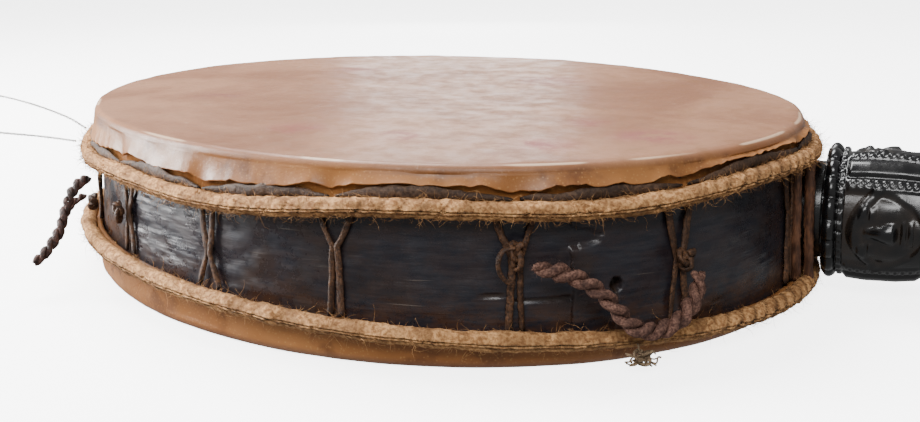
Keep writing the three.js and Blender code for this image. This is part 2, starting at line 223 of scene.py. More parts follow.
def add_piece(name, points, faces, material, nodes=(), slot=None, fields=None):
    """Makes a mesh piece of the drum that rides with it and stands for the named solids."""
    mesh = bpy.data.meshes.new(name)
    mesh.from_pydata(np.asarray(points).reshape(-1, 3).tolist(), [], faces)
    mesh.update()
    mesh.shade_smooth()
    for field, values in (fields or {}).items():
        layer = mesh.attributes.new(field, "FLOAT", "POINT")
        layer.data.foreach_set("value", np.asarray(values, np.float32).ravel())
    mesh.materials.append(material)
    piece = bpy.data.objects.new(name, mesh)
    bpy.context.scene.collection.objects.link(piece)
    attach(piece, "root")
    if nodes:
        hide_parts(*nodes)
    return piece


def spline(points, count):
    """A smooth curve through the points, evenly spaced by length."""
    p = np.asarray(points, float)
    padded = np.vstack([2 * p[0] - p[1], p, 2 * p[-1] - p[-2]])
    fine = []
    for i in range(1, len(padded) - 2):
        a, b, c, d = padded[i - 1 : i + 3]
        t = np.linspace(0, 1, 24, endpoint=False)[:, None]
        bend, turn = 2 * a - 5 * b + 4 * c - d, 3 * b - a - 3 * c + d
        fine.append(0.5 * (2 * b + (c - a) * t + bend * t**2 + turn * t**3))
    fine = np.vstack(fine + [p[-1:]])
    run = np.concatenate([[0], np.cumsum(np.linalg.norm(np.diff(fine, axis=0), axis=1))])
    even = np.linspace(0, run[-1], count)
    return np.stack([np.interp(even, run, fine[:, k]) for k in range(3)], -1)


def frames_along(path, up=None):
    """Directions across and out of a path, without sudden turns."""
    along = np.gradient(path, axis=0)
    along /= np.linalg.norm(along, axis=1)[:, None]
    side = np.zeros_like(path)
    guide = np.array([0, 0, 1.0]) if up is None else np.asarray(up, float)
    if up is None and abs(along[0] @ guide) > 0.95:
        guide = np.array([1.0, 0, 0])
    for i, direction in enumerate(along):
        axis = np.cross(direction, guide if guide.ndim == 1 else guide[i])
        side[i] = axis / max(np.linalg.norm(axis), 1e-9)
        if guide.ndim == 1:
            guide = np.cross(side[i], direction)
    return side, np.cross(side, along)


def strand(path, wide, thick, sides=12, twist=0.0, up=None, lumps=0.08, seed=1):
    """A closed strand of oval section. wide and thick are half-sizes, one value or one for each point."""
    count = len(path)
    side, out = frames_along(path, up)
    turn = np.linspace(0, twist, count)[:, None]
    around = np.linspace(0, 2 * np.pi, sides, endpoint=False)[None, :]
    wide = np.broadcast_to(np.asarray(wide, float).reshape(-1, 1), (count, 1))
    thick = np.broadcast_to(np.asarray(thick, float).reshape(-1, 1), (count, 1))
    x, y = wide * np.cos(around), thick * np.sin(around)
    u, v = x * np.cos(turn) - y * np.sin(turn), x * np.sin(turn) + y * np.cos(turn)
    offset = u[..., None] * side[:, None] + v[..., None] * out[:, None]
    points = path[:, None] + offset
    uneven = 1 + lumps * noise(points, float(np.max(wide)) * 1.1, seed)
    points = path[:, None] + offset * uneven[..., None]
    faces = grid_faces(count, sides)
    ends = [list(range(sides))[::-1], list(range((count - 1) * sides, count * sides))]
    return points.reshape(-1, 3), faces + ends


def joined(parts):
    """Several lots of (points, faces) as one."""
    points, faces, start = [], [], 0
    for part_points, part_faces in parts:
        points.append(part_points)
        faces += [[i + start for i in face] for face in part_faces]
        start += len(part_points)
    return np.vstack(points), faces


def hairs(roots, directions, reach, thickness, curl, rng, steps=5):
    """Short curved fibres as thin three-sided tubes."""
    count = len(roots)
    t = np.linspace(0, 1, steps)
    bend = rng.normal(0, 1, (count, 3))
    bend -= (bend * directions).sum(1, keepdims=True) * directions
    bend /= np.linalg.norm(bend, axis=1, keepdims=True) + 1e-9
    second = np.cross(directions, bend)
    reach = np.asarray(reach)[:, None, None]
    wave = np.sin(t * rng.uniform(2, 5, (count, 1)) + rng.uniform(0, 6, (count, 1)))
    wave = (wave - wave[:, :1])[..., None]
    straight = directions[:, None] * t[None, :, None]
    line = roots[:, None] + reach * (straight + curl * bend[:, None] * (t**2)[None, :, None])
    line = line + reach * curl * 0.35 * wave * second[:, None]
    width = thickness * (1 - 0.75 * t)[None, :, None, None]
    around = np.array([0, 2 * np.pi / 3, 4 * np.pi / 3])
    cosine, sine = np.cos(around)[None, None, :, None], np.sin(around)[None, None, :, None]
    ring = cosine * bend[:, None, None] + sine * second[:, None, None]
    points = line[:, :, None] + width * ring
    one = np.array(grid_faces(steps, 3))
    faces = (one[None] + (np.arange(count) * steps * 3)[:, None, None]).reshape(-1, 4).tolist()
    first = np.arange(count)[:, None] * steps * 3
    faces += (first + np.array([2, 1, 0])).tolist()
    faces += (first + (steps - 1) * 3 + np.array([0, 1, 2])).tolist()
    return points.reshape(-1, 3), faces


# Materials ------------------------------------------------------------------


class Finish:
    """Builds a material's nodes, left to right."""

    def __init__(self, name):
        self.material = bpy.data.materials.new(name)
        self.material.use_nodes = True
        self.nodes = self.material.node_tree.nodes
        self.links = self.material.node_tree.links
        self.shader = self.nodes["Principled BSDF"]
        self.place = self.nodes.new("ShaderNodeTexCoord").outputs["Object"]

    def plug(self, socket, value):
        if isinstance(value, bpy.types.NodeSocket):
            self.links.new(value, socket)
        elif isinstance(value, (tuple, list)) and len(value) == 3 and socket.type == "RGBA":
            socket.default_value = (*value, 1)
        else:
            socket.default_value = value

    def stretched(self, scale):
        node = self.nodes.new("ShaderNodeMapping")
        self.plug(node.inputs["Vector"], self.place)
        node.inputs["Scale"].default_value = scale
        return node.outputs["Vector"]

    def noise(self, size, detail=4, roughness=0.55, stretch=(1, 1, 1), distortion=0.0):
        node = self.nodes.new("ShaderNodeTexNoise")
        self.plug(node.inputs["Vector"], self.stretched(stretch))
        node.inputs["Scale"].default_value = 1 / size
        node.inputs["Detail"].default_value = detail
        node.inputs["Roughness"].default_value = roughness
        node.inputs["Distortion"].default_value = distortion
        return node.outputs["Fac"]

    def cells(self, size):
        node = self.nodes.new("ShaderNodeTexVoronoi")
        self.plug(node.inputs["Vector"], self.place)
        node.inputs["Scale"].default_value = 1 / size
        return node.outputs["Distance"]

    def field(self, name):
        node = self.nodes.new("ShaderNodeAttribute")
        node.attribute_name = name
        return node.outputs["Fac"]

    def remap(self, value, low, high, to_low=0.0, to_high=1.0):
        node = self.nodes.new("ShaderNodeMapRange")
        node.interpolation_type = "SMOOTHSTEP"
        self.plug(node.inputs["Value"], value)
        node.inputs["From Min"].default_value = low
        node.inputs["From Max"].default_value = high
        node.inputs["To Min"].default_value = to_low
        node.inputs["To Max"].default_value = to_high
        return node.outputs["Result"]

    def math(self, operation, a, b=0.0):
        node = self.nodes.new("ShaderNodeMath")
        node.operation = operation
        self.plug(node.inputs[0], a)
        self.plug(node.inputs[1], b)
        return node.outputs[0]

    def mix(self, amount, a, b, blend="MIX"):
        node = self.nodes.new("ShaderNodeMix")
        node.data_type = "RGBA"
        node.blend_type = blend
        self.plug(node.inputs["Factor"], amount)
        self.plug(node.inputs["A"], a)
        self.plug(node.inputs["B"], b)
        return node.outputs["Result"]

    def spot(self, centre, radius, edge=0.5):
        """1 at a place on the drum, fading to 0 at the radius."""
        node = self.nodes.new("ShaderNodeVectorMath")
        node.operation = "DISTANCE"
        self.plug(node.inputs[0], self.place)
        node.inputs[1].default_value = centre
        return self.remap(node.outputs["Value"], radius * edge, radius, 1.0, 0.0)

    def raised(self, height, depth, strength=1.0, under=None):
        node = self.nodes.new("ShaderNodeBump")
        node.inputs["Distance"].default_value = depth
        node.inputs["Strength"].default_value = strength
        self.plug(node.inputs["Height"], height)
        if under is not None:
            self.plug(node.inputs["Normal"], under)
        return node.outputs["Normal"]

    def finish(self, base, roughness, normal=None, specular=0.5, metallic=0.0):
        self.plug(self.shader.inputs["Base Color"], base)
        self.plug(self.shader.inputs["Roughness"], roughness)
        if normal is not None:
            self.plug(self.shader.inputs["Normal"], normal)
        self.shader.inputs["Specular IOR Level"].default_value = specular
        self.shader.inputs["Metallic"].default_value = metallic
        return self.material


def drum_place(angle_degrees, radius, z):
    return tuple(drum_point(math.radians(angle_degrees), radius, z).tolist())


def skin_finish():
    f = Finish("Worn rawhide")
    c = colours()
    cloud = f.noise(0.09, 5, 0.6, distortion=0.6)
    mottle = f.noise(0.012, 6, 0.65)
    fine = f.noise(0.0011, 3, 0.6)
    skirt = f.field("skirt")
    edge = f.field("edge")
    top = f.mix(f.remap(cloud, 0.35, 0.65), tuple(c.skin), tuple(c.pale_skin))
    top = f.mix(f.remap(mottle, 0.45, 0.7, 0, 0.55), top, (0.17, 0.075, 0.028))
    for angle, radius, spread, tint in (
        (262, 0.128, 0.020, (0.21, 0.035, 0.035)),
        (286, 0.125, 0.018, (0.20, 0.035, 0.035)),
        (311, 0.146, 0.022, (0.21, 0.035, 0.045)),
        (330, 0.150, 0.026, (0.22, 0.04, 0.055)),
        (331, 0.110, 0.016, (0.21, 0.045, 0.045)),
        (205, 0.120, 0.024, (0.16, 0.045, 0.03)),
        (60, 0.090, 0.030, (0.19, 0.05, 0.045)),
        (140, 0.110, 0.022, (0.18, 0.05, 0.04)),
    ):
        spot = f.spot(drum_place(angle, radius, DEPTH), spread, 0.1)
        stain = f.math("MULTIPLY", spot, f.remap(mottle, 0.35, 0.6))
        top = f.mix(f.math("MULTIPLY", stain, 0.75), top, tint)
    pale = f.remap(f.noise(0.006, 3, 0.7), 0.66, 0.74, 0, 0.5)
    top = f.mix(pale, top, (0.46, 0.31, 0.21))
    side = f.mix(f.remap(cloud, 0.3, 0.7), tuple(c.skirt), tuple(c.pale_skirt))
    side = f.mix(f.remap(f.noise(0.02, 4, 0.6), 0.5, 0.7, 0, 0.6), side, (0.06, 0.018, 0.008))
    pores = f.remap(f.cells(0.0016), 0.10, 0.34, 1.0, 0.0)
    side = f.mix(f.math("MULTIPLY", pores, 0.45), side, (0.42, 0.22, 0.08))
    base = f.mix(skirt, top, side)
    base = f.mix(f.math("MULTIPLY", edge, f.remap(mottle, 0.3, 0.6)), base, (0.06, 0.016, 0.010))
    # pale crease: partly rubbed wear, partly a painted highlight
    base = f.mix(f.remap(f.field("wear_and_highlight"), 0.4, 0.9, 0, 0.7), base, (0.6, 0.42, 0.28))
    rough_value = f.remap(mottle, 0.3, 0.7, 0.30, 0.48)
    height = f.math("ADD", f.math("MULTIPLY", fine, 0.5), f.math("MULTIPLY", mottle, 0.8))
    normal = f.raised(height, 0.0004, 0.5)
    return f.finish(base, rough_value, normal, specular=0.32)


def shell_finish():
    f = Finish("Smoked shell wood")
    c = colours()
    grain = f.noise(0.02, 6, 0.7, stretch=(1, 1, 9))
    cloud = f.noise(0.05, 4, 0.6)
    scratch = f.noise(0.003, 2, 0.5, stretch=(0.06, 0.06, 2.2))
    dark = f.mix(f.remap(grain, 0.4, 0.65), tuple(c.wood), (0.020, 0.019, 0.024))
    dark = f.mix(f.remap(cloud, 0.5, 0.72, 0, 0.8), dark, (0.02, 0.011, 0.007))
    patches = f.noise(0.014, 5, 0.7, stretch=(1, 1, 2))
    rubbed = f.math("MULTIPLY", f.field("low"), f.remap(patches, 0.38, 0.62))
    base = f.mix(f.math("MULTIPLY", rubbed, 0.85), dark, tuple(c.bare_wood))
    base = f.mix(f.remap(scratch, 0.70, 0.78, 0, 0.5), base, (0.2, 0.17, 0.14))
    base = f.mix(f.field("cut"), base, (0.03, 0.018, 0.012))
    rough_value = f.remap(f.noise(0.01, 5, 0.7), 0.35, 0.7, 0.22, 0.48)
    height = f.math("ADD", f.math("MULTIPLY", grain, 0.6), f.math("MULTIPLY", scratch, 0.3))
    return f.finish(base, rough_value, f.raised(height, 0.0007, 0.5), specular=0.4)


def fibrous_finish(name, light, dark, size, roughness=0.8, along=(1, 1, 1)):
    """Dry hide or fibre: streaks and blotches on a rough surface, with painted shade where it lies in grooves
    and recesses.
    """
    f = Finish(name)
    light, dark = tuple(light), tuple(dark)
    streak = f.noise(size, 5, 0.65, stretch=along)
    blotch = f.noise(size * 7, 3, 0.6)
    base = f.mix(f.remap(streak, 0.35, 0.65), dark, light)
    base = f.mix(f.remap(blotch, 0.42, 0.62, 0, 0.55), base, tuple(0.45 * v for v in dark))
    # painted shade: darker in grooves and where a piece tucks behind others; cords and knots put random dark
    # patches in the same field
    base = f.mix(f.field("shade_and_marks"), base, tuple(0.25 * v for v in dark))
    return f.finish(base, roughness, f.raised(streak, size * 0.6, 0.7), specular=0.3)


def handle_finish():
    f = Finish("Black carved wood")
    c = colours()
    cloud = f.noise(0.012, 5, 0.6)
    shade_and_marks = f.field("shade_and_marks")
    base = f.mix(f.remap(cloud, 0.45, 0.7, 0, 0.6), tuple(c.handle), (0.007, 0.006, 0.0055))
    base = f.mix(f.math("MULTIPLY", shade_and_marks, f.remap(cloud, 0.3, 0.6)), base, (0.02, 0.013, 0.009))
    base_rough = f.remap(cloud, 0.35, 0.7, 0.17, 0.34)
    grain = f.noise(0.004, 5, 0.7, stretch=(0.15, 1, 1))
    return f.finish(base, base_rough, f.raised(grain, 0.0004, 0.4), specular=0.6)


def wire_finish():
    f = Finish("Dull wire")
    tarnish = f.noise(0.004, 4, 0.6)
    base = f.mix(f.remap(tarnish, 0.4, 0.65), (0.36, 0.35, 0.34), (0.62, 0.61, 0.6))
    return f.finish(base, f.remap(tarnish, 0.3, 0.7, 0.4, 0.7), metallic=0.7)


def floor_finish():
    f = Finish("Pale floor")
    f.shader.inputs["Emission Color"].default_value = (1, 1, 1, 1)
    f.shader.inputs["Emission Strength"].default_value = 4.2
    return f.finish((0.93, 0.93, 0.935), 0.85, specular=0.1)


# Pieces -----------------------------------------------------------------------


def angle_samples(count, dense=()):
    """Angles round the drum, closer together near some places: (angle, half-width, step)."""
    angles = np.linspace(0, 2 * np.pi, count, endpoint=False)
    extra = [np.arange(a - w, a + w, step) for a, w, step in dense]
    return np.unique(np.round(np.mod(np.concatenate([angles, *extra]), 2 * np.pi), 6))


def build_shell():
    s = sizes()
    hole_angle, hole_height, hole_radius = CORD_HOLE
    angles = angle_samples(560, ((LAP_START, 0.03, 0.0022), (hole_angle, 0.03, 0.0026)))
    heights = np.linspace(s.skin + s.gap, DEPTH - s.skin - s.gap - 0.001, 84)
    a, z = np.meshgrid(angles, heights)
    on_lap = np.mod(a - LAP_START, 2 * np.pi) / LAP_SPAN
    # the lap's edge isn't straight: it is chipped near the top
    edge_shift = 0.0016 * rough(np.stack([z, 0 * z, 0 * z], -1), 0.006, 3, 5) / 0.19
    chip = 0.055 * bump(z, 0.0535, 0.0045) * (1 + 0.5 * noise(np.stack([z, z, z], -1), 0.002, 3))
    past_edge = (a - LAP_START) - edge_shift - chip
    step = smoothstep(past_edge, -0.0016, 0.0016)
    lap = np.where((on_lap < 1) | (np.abs(a - LAP_START) < 0.06), LAP_THICKNESS, 0) * step
    lap = np.where(on_lap < 1, lap * (1 - on_lap), lap)
    radius = shell_radius(z) + lap
    place = drum_point(a, radius, z)
    radius = radius + 0.00028 * rough(place * np.array([1, 1, 2.5]), 0.012, 4, 2)
    radius = radius + 0.0005 * noise(place, 0.06, 9)
    nicks = np.clip(noise(place * np.array([0.5, 0.5, 3]), 0.004, 12) - 0.62, 0, 1)
    radius = radius - 0.0012 * nicks
    across = (a - hole_angle) * s.rim_radius * 1.04
    away = np.hypot(across, z - hole_height)
    hole = smoothstep(away, hole_radius + 0.0005, hole_radius - 0.0005)
    crack = bump(across + 0.0006 * noise(place, 0.004, 4), 0, 0.0006)
    crack = crack * smoothstep(z, 0.014, 0.018) * (z < hole_height)
    groove = bump(z, 0.0285 + 0.0006 * noise(place, 0.01, 6), 0.0009)
    groove = groove * (a < LAP_START) * smoothstep(a, LAP_START - 0.14, LAP_START - 0.11)
    slit = bump(z, 0.0305, 0.0011) * bump(a, math.radians(300.3), 0.033)
    radius = radius - 0.0055 * hole - 0.0011 * crack - 0.0016 * groove - 0.0016 * slit
    low = 0.25 + 0.75 * smoothstep(z, 0.034, 0.014) + 0.3 * bump(z, 0.06, 0.006)
    low = np.maximum(low * 0.8, bump(a, math.radians(222), 0.3))
    cut = np.clip(hole + crack + groove + slit, 0, 1)
    outside = drum_point(a, radius, z + head_lift(a) * smoothstep(z, 0.078, DEPTH))
    inner_radius = shell_radius(heights[::-1]) - s.wall
    inside_angle, inside_z = np.meshgrid(angles, heights[::-1][[0, 42, -1]])
    inside_z = inside_z + head_lift(inside_angle) * smoothstep(inside_z, 0.078, DEPTH)
    inside = drum_point(inside_angle, inner_radius[[0, 42, -1]][:, None], inside_z)
    rows = len(heights) + 3
    points = np.concatenate([outside, inside]).reshape(-1, 3)
    columns = len(angles)
    faces = grid_faces(rows, columns)
    last = (rows - 1) * columns
    faces += [[last + i, last + (i + 1) % columns, (i + 1) % columns, i] for i in range(columns)]
    plain = np.zeros(3 * columns)
    fields = {"low": np.concatenate([low.ravel(), plain]), "cut": np.concatenate([cut.ravel(), plain])}
    add_piece("wooden_shell_carved", points, faces, shell_finish(), ["wooden_shell"], "shell_wood", fields)


def pull(angle):
    """1 at each crossing of the lacing, 0 between."""
    gaps = [np.abs(np.mod(angle - math.radians(a) + np.pi, 2 * np.pi) - np.pi) for a in LACING_ANGLES]
    return np.exp(-((np.min(gaps, axis=0) / 0.035) ** 2))


def build_upper_skin(material):
    s = sizes()
    angles = angle_samples(720)
    a = angles[None, :]
    edge = s.rim_radius
    flat = edge * np.sqrt(np.linspace(0.0001, 1, 64))[:-1, None] * (1 - 0.0035 / edge)
    flat_points = drum_point(a, flat, 0)
    sag, creases = noise(flat_points[..., :2], 0.07, 3), noise(flat_points[..., :2], 0.016, 5)
    top = DEPTH - 0.0006 + 0.0004 * sag + 0.00016 * creases
    flat_points[..., 2] = np.minimum(top, DEPTH) + head_lift(a) * flat / edge
    # the bend over the rim, then the skirt down to its ragged hem
    rim = drum_point(a, edge, 0)
    rim_wave = 0.0007 * noise(rim, 0.05, 8) + 0.0004 * noise(rim, 0.012, 2)
    turn = np.linspace(0.12, 0.5 * np.pi, 9)[:, None]
    bend = 0.0035
    bend_r = edge - bend + bend * np.sin(turn) + rim_wave - 0.0003
    bend_z = DEPTH - bend + bend * np.cos(turn) - 0.0006 + 0.5 * rim_wave + head_lift(a)
    hem = upper_hoop_height(a) + s.roll + s.gap + 0.0046 * (1 - 0.5 * pull(a))
    ragged = 0.0009 * rough(rim, 0.014, 4, 6) + 0.0009 * noise(rim, 0.003, 7)
    hem = np.minimum(hem + ragged, DEPTH - 0.006)
    down = np.linspace(0, 1, 22)[1:, None]
    skirt_z = bend_z[-1:] + (hem - bend_z[-1:]) * down
    swell = 0.0030 * down**1.3 * (1 - 0.6 * pull(a)) + 0.0006 * noise(drum_point(a, edge, skirt_z), 0.02, 4)
    skirt_r = bend_r[-1:] + swell
    fold_depth = np.array([0.4, 1.2, 2.4])[:, None] * MM
    under_z = hem - 0.0003 + 0 * fold_depth
    under_r = skirt_r[-1:] - fold_depth
    tuck_z = upper_hoop_height(a) + np.array([0.003, -0.001, -0.001])[:, None]
    tuck_r = np.array([edge, edge, edge - s.skin])[:, None] + 0 * a
    inner_r = np.array([edge - s.skin, edge - s.skin - 0.0016, 0.0005])[:, None] + 0 * a
    inner_z = np.array([DEPTH - s.skin - 0.0018, DEPTH - s.skin, DEPTH - s.skin])[:, None]
    inner_z = inner_z + head_lift(a) * inner_r / edge - 0.0004
    radii, levels = (bend_r, skirt_r, under_r, tuck_r, inner_r), (bend_z, skirt_z, under_z, tuck_z, inner_z)
    sides = [drum_point(a, r, z) for r, z in zip(radii, levels)]
    points = np.concatenate([flat_points, *sides])
    rows, columns = points.shape[:2]
    faces = grid_faces(rows, columns)
    faces.append(list(range(columns))[::-1])
    faces.append([(rows - 1) * columns + i for i in range(columns)])
    skirt = np.zeros((rows, columns))
    first = len(flat_points)
    skirt[first : first + 9] = np.linspace(0, 1, 9)[:, None] ** 2
    skirt[first + 9 :] = 1
    edge_field = np.zeros((rows, columns))
    dark_patches = smoothstep(noise(rim, 0.06, 21), -0.2, 0.35)
    edge_field[first + 4 : first + 15] = bump(np.arange(11), 5, 6)[:, None] * dark_patches
    # pale band along the top of the rim's bend: partly rubbed wear, partly a painted highlight
    wear_and_highlight = np.zeros((rows, columns))
    wear_and_highlight_patches = smoothstep(noise(rim, 0.02, 31), -0.4, 0.3)
    wear_and_highlight[first : first + 4] = bump(np.arange(4), 1.5, 2.2)[:, None] * wear_and_highlight_patches
    fields = {"skirt": skirt, "edge": edge_field, "wear_and_highlight": wear_and_highlight}
    add_piece("upper_skin_stretched", points, faces, material, ["upper_skin"], "drum_skin", fields)


def build_lower_skin(material):
    s = sizes()
    angles = angle_samples(600)
    a = angles[None, :]
    edge = s.rim_radius + s.flare
    flat = edge * np.sqrt(np.linspace(0.0001, 1, 28))[:-1, None] * (1 - 0.006 / edge)
    flat_points = drum_point(a, flat, 0)
    flat_points[..., 2] = 0.00012 * (1 + noise(flat_points[..., :2], 0.03, 3)) * (flat < edge - 0.02)
    turn = np.linspace(0.1, 0.5 * np.pi, 9)[:, None]
    bend = 0.0048
    rim = drum_point(a, edge, 0)
    wave = 0.0006 * noise(rim, 0.04, 18) + 0.0003 * noise(rim, 0.01, 12)
    bend_r = edge - bend + bend * np.sin(turn) + wave - 0.0004
    bend_z = bend - bend * np.cos(turn)
    hem = lower_hoop_height(a) - s.roll * 0.75
    hem = np.maximum(hem, 0.0055)
    down = np.linspace(0, 1, 16)[1:, None]
    skirt_z = bend_z[-1:] + (hem - bend_z[-1:]) * down
    skirt_r = bend_r[-1:] + 0.0018 * down**2 + 0.0006 * noise(drum_point(a, edge, skirt_z), 0.018, 14)
    tuck_r = np.array([edge + 0.0004, edge, edge - s.skin])[:, None] + 0 * a
    tuck_z = np.concatenate([hem + 0.0006, lower_hoop_height(a) + 0.001, lower_hoop_height(a) + 0.001])
    inner_r = np.array([edge - s.skin, 0.0005])[:, None] + 0 * a
    inner_z = np.array([s.skin, s.skin])[:, None] + 0 * a
    radii, levels = (bend_r, skirt_r, tuck_r, inner_r), (bend_z, skirt_z, tuck_z, inner_z)
    sides = [drum_point(a, r, z) for r, z in zip(radii, levels)]
    points = np.concatenate([flat_points, *sides])
    rows, columns = points.shape[:2]
    faces = [face[::-1] for face in grid_faces(rows, columns)]
    faces.append(list(range(columns)))
    faces.append([(rows - 1) * columns + i for i in range(columns)][::-1])
    skirt = np.zeros((rows, columns))
    first = len(flat_points)
    skirt[first : first + 9] = np.linspace(0, 1, 9)[:, None] ** 2
    skirt[first + 9 :] = 1
    fields = {"skirt": skirt, "edge": np.zeros((rows, columns)), "wear_and_highlight": np.zeros((rows, columns))}
    add_piece("lower_skin_stretched", points, faces, material, ["lower_skin"], "drum_skin", fields)


def rope_lay(angle, seed):
    """Where the roll is lashed so tightly that it looks like laid rope."""
    near = np.abs(np.mod(angle + np.pi, 2 * np.pi) - np.pi)
    patches = smoothstep(noise(np.stack([angle, 0 * angle], -1), 0.5, seed), 0.35, 0.6)
    return np.clip(smoothstep(near, 0.66, 0.5) + 0.6 * patches, 0, 1)


def build_hoop(name, skin_edge, height_at, seed, material, fuzz_count):
    s = sizes()
    columns, around = 1100, 20
    angle = np.linspace(0, 2 * np.pi, columns, endpoint=False)[None, :]
    section = np.linspace(0, 2 * np.pi, around, endpoint=False)[:, None]
    middle = skin_edge + s.gap + s.roll
    run = angle * middle
    swirl = section - run * 2 * np.pi / 0.0165
    laid = rope_lay(angle, seed)
    ridge = np.abs(np.sin(swirl)) ** 0.7
    centre = drum_point(angle, middle, height_at(angle))
    soft = 0.10 * noise(centre, 0.010, seed) + 0.07 * noise(centre, 0.03, seed + 1)
    size = s.roll * (0.94 + soft * (1 - laid) + laid * (0.16 * ridge - 0.12))
    base = drum_point(angle, middle + size * np.cos(section), height_at(angle) + size * np.sin(section))
    size = size * (1 + 0.10 * rough(base, 0.0028, 3, seed + 2))
    points = drum_point(angle, middle + size * np.cos(section), height_at(angle) + size * np.sin(section))
    faces = [face[::-1] for face in grid_faces(around, columns)]
    last = (around - 1) * columns
    faces += [[(i + 1) % columns, last + (i + 1) % columns, last + i, i][::-1] for i in range(columns)]
    # painted shade: darker in the grooves between the lashed turns of the roll
    shade_and_marks = laid * smoothstep(ridge, 0.6, 0.15) + 0 * section
    add_piece(f"{name}_wrapped", points, faces, material, [name], "hide_roll", {"shade_and_marks": shade_and_marks})
    rng = np.random.default_rng(seed)
    root_angle = rng.uniform(0, 2 * np.pi, fuzz_count)
    root_section = rng.uniform(-0.75 * np.pi, 0.75 * np.pi, fuzz_count)
    radius = s.roll * 0.93
    out = drum_point(root_angle, 1.0, 0) / oval(root_angle)[:, None]
    up = np.array([0, 0, 1.0])
    root_height = height_at(root_angle) + radius * np.sin(root_section)
    roots = drum_point(root_angle, middle + radius * np.cos(root_section), root_height)
    tangent = np.cross(up, out)
    direction = np.cos(root_section)[:, None] * out + np.sin(root_section)[:, None] * up
    direction = 0.45 * direction + tangent * rng.normal(0, 1.2, (fuzz_count, 1))
    direction = direction + rng.normal(0, 0.35, (fuzz_count, 3))
    direction /= np.linalg.norm(direction, axis=1, keepdims=True)
    reach = rng.gamma(2.2, 0.0011, fuzz_count) + 0.0007
    fuzz = hairs(roots, direction, np.minimum(reach, 0.007), 0.00011, 0.55, rng)
    # fibres that would reach under the drum lie on the floor instead
    height = fuzz[0][:, 2]
    fuzz[0][:, 2] = np.maximum(height, 0.0004 + 0.05 * (height + 0.007).clip(0))
    add_piece(f"{name}_fuzz", *fuzz, material, slot="hide_roll", fields={"shade_and_marks": np.zeros(len(fuzz[0]))})


def strand_spread(index):
    wobble = 0.9 if index == 2 else math.sin(2.4 * index + 0.6)
    return (5.5 + 2.5 * wobble) * MM, (4.5 - 2 * wobble) * MM, 0.5 + 0.16 * wobble


def build_lacing(index, material):
    """Two strands that start behind the upper hoop, are pinched together and end behind the lower one."""
    s = sizes()
    angle = math.radians(LACING_ANGLES[index])
    top_spread, foot_spread, pinch = strand_spread(index)
    top = upper_hoop_height(angle) - 0.5 * s.roll
    foot = lower_hoop_height(angle) + 0.5 * s.roll
    reach = shell_radius((top + foot) / 2) * oval(angle)
    rng = np.random.default_rng(40 + index)
    parts = []
    for side in (-1, 1):
        t = np.linspace(0, 1, 44)
        z = top + (foot - top) * t
        waist = 1 - pinch
        above = top_spread * np.clip(1 - t / waist, 0, 1) ** 0.9
        below = foot_spread * np.clip((t - waist) / (1 - waist), 0, 1) ** 0.9
        spread = np.where(t < waist, above, below)
        hug = 0.7 * MM * np.exp(-(((t - waist) / 0.16) ** 2))
        pinched = 0.25 * s.thong_width * np.exp(-(((t - waist) / 0.3) ** 2))
        sideways = side * (spread + pinched) + rng.normal(0, 0.3) * MM
        sideways = sideways + 0.5 * MM * wander(t, 0.3, 3 + index, side)
        at = angle + sideways / reach
        stand = s.gap + 0.5 * s.thong + (hug if side > 0 else 0)
        path = drum_point(at, shell_radius(z) + lap_at(at) + stand, z)
        wide = s.thong_width * (0.40 + 0.08 * rng.uniform(-1, 1))
        wide = wide * (0.86 + 0.2 * noise(np.stack([t, t], -1), 0.22, 9 + index))
        out = drum_point(at, 1.0, 0)
        twist = side * rng.uniform(-0.5, 0.5)
        parts.append(strand(path, wide, 0.42 * s.thong, 14, twist, out, 0.16, 60 + index))
    points, faces = joined(parts)
    z = points[:, 2]
    # painted shade: the strands darken as they pass behind the hoops
    shade = np.maximum(smoothstep(z, top - 0.004, top), smoothstep(z, foot + 0.004, foot))
    number = f"{index + 1:02d}"
    fields = {"shade_and_marks": shade}
    add_piece(f"lacing_strands_{number}", points, faces, material, [f"lacing_{number}"], "thong", fields)


def build_thong_run(index, material):
    """The thong lies flat on the upper hoop from one crossing to the next, thickest half-way."""
    s = sizes()
    following = LACING_ANGLES[(index + 1) % len(LACING_ANGLES)]
    start = math.radians(LACING_ANGLES[index])
    span = -math.radians((LACING_ANGLES[index] - following) % 360)
    t = np.linspace(0, 1, 70)
    angle = start + span * (0.02 + 0.96 * t)
    lens = np.sin(np.pi * t) ** 0.8
    tall = 0.5 * MM * (1.1 + 4.0 * lens) * (1 + 0.18 * wander(t, 0.13, 70 + index))
    wiggle = 0.4 * MM * wander(t, 0.2, 90 + index)
    z = upper_hoop_height(angle) + s.roll * 0.80 + tall * 0.95 + wiggle
    path = drum_point(angle, s.rim_radius + 0.0019 + 0.0005 * np.sin(3 * t * np.pi + index), z)
    out = drum_point(angle, 1.0, 0)
    points, faces = strand(path, tall, 0.0012 * (0.5 + 0.5 * lens), 16, 0, out, 0.22, 80 + index)
    # painted shade: each run darkens at its ends, where it meets the crossings
    shade = smoothstep(np.repeat(np.abs(t - 0.5), 16), 0.40, 0.5)
    number = f"{index + 1:02d}"
    fields = {"shade_and_marks": shade}
    add_piece(f"thong_flat_{number}", points, faces, material, [f"thong_run_{number}"], "thong", fields)


def knot_path(centre, along, up, out, sizes_mm, turns=1.0, phase=0.0, count=90):
    """A pulled-tight overhand knot: a trefoil squeezed into a lump."""
    t = np.linspace(0, 2 * np.pi * turns, count) + phase
    x = (np.sin(t) + 2 * np.sin(2 * t)) / 3
    y = (np.cos(t) - 2 * np.cos(2 * t)) / 3
    w = -np.sin(3 * t)
    a, b, c = (v * MM for v in sizes_mm)
    return centre + np.outer(x * a, along) + np.outer(y * b, up) + np.outer(w * c, out)


def drum_axes(angle_degrees):
    angle = math.radians(angle_degrees)
    out = np.array([math.cos(angle), math.sin(angle), 0])
    return np.cross([0, 0, 1.0], out), np.array([0, 0, 1.0]), out


def box_middle(node):
    low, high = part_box(node)
    return np.array((low + high) / 2)


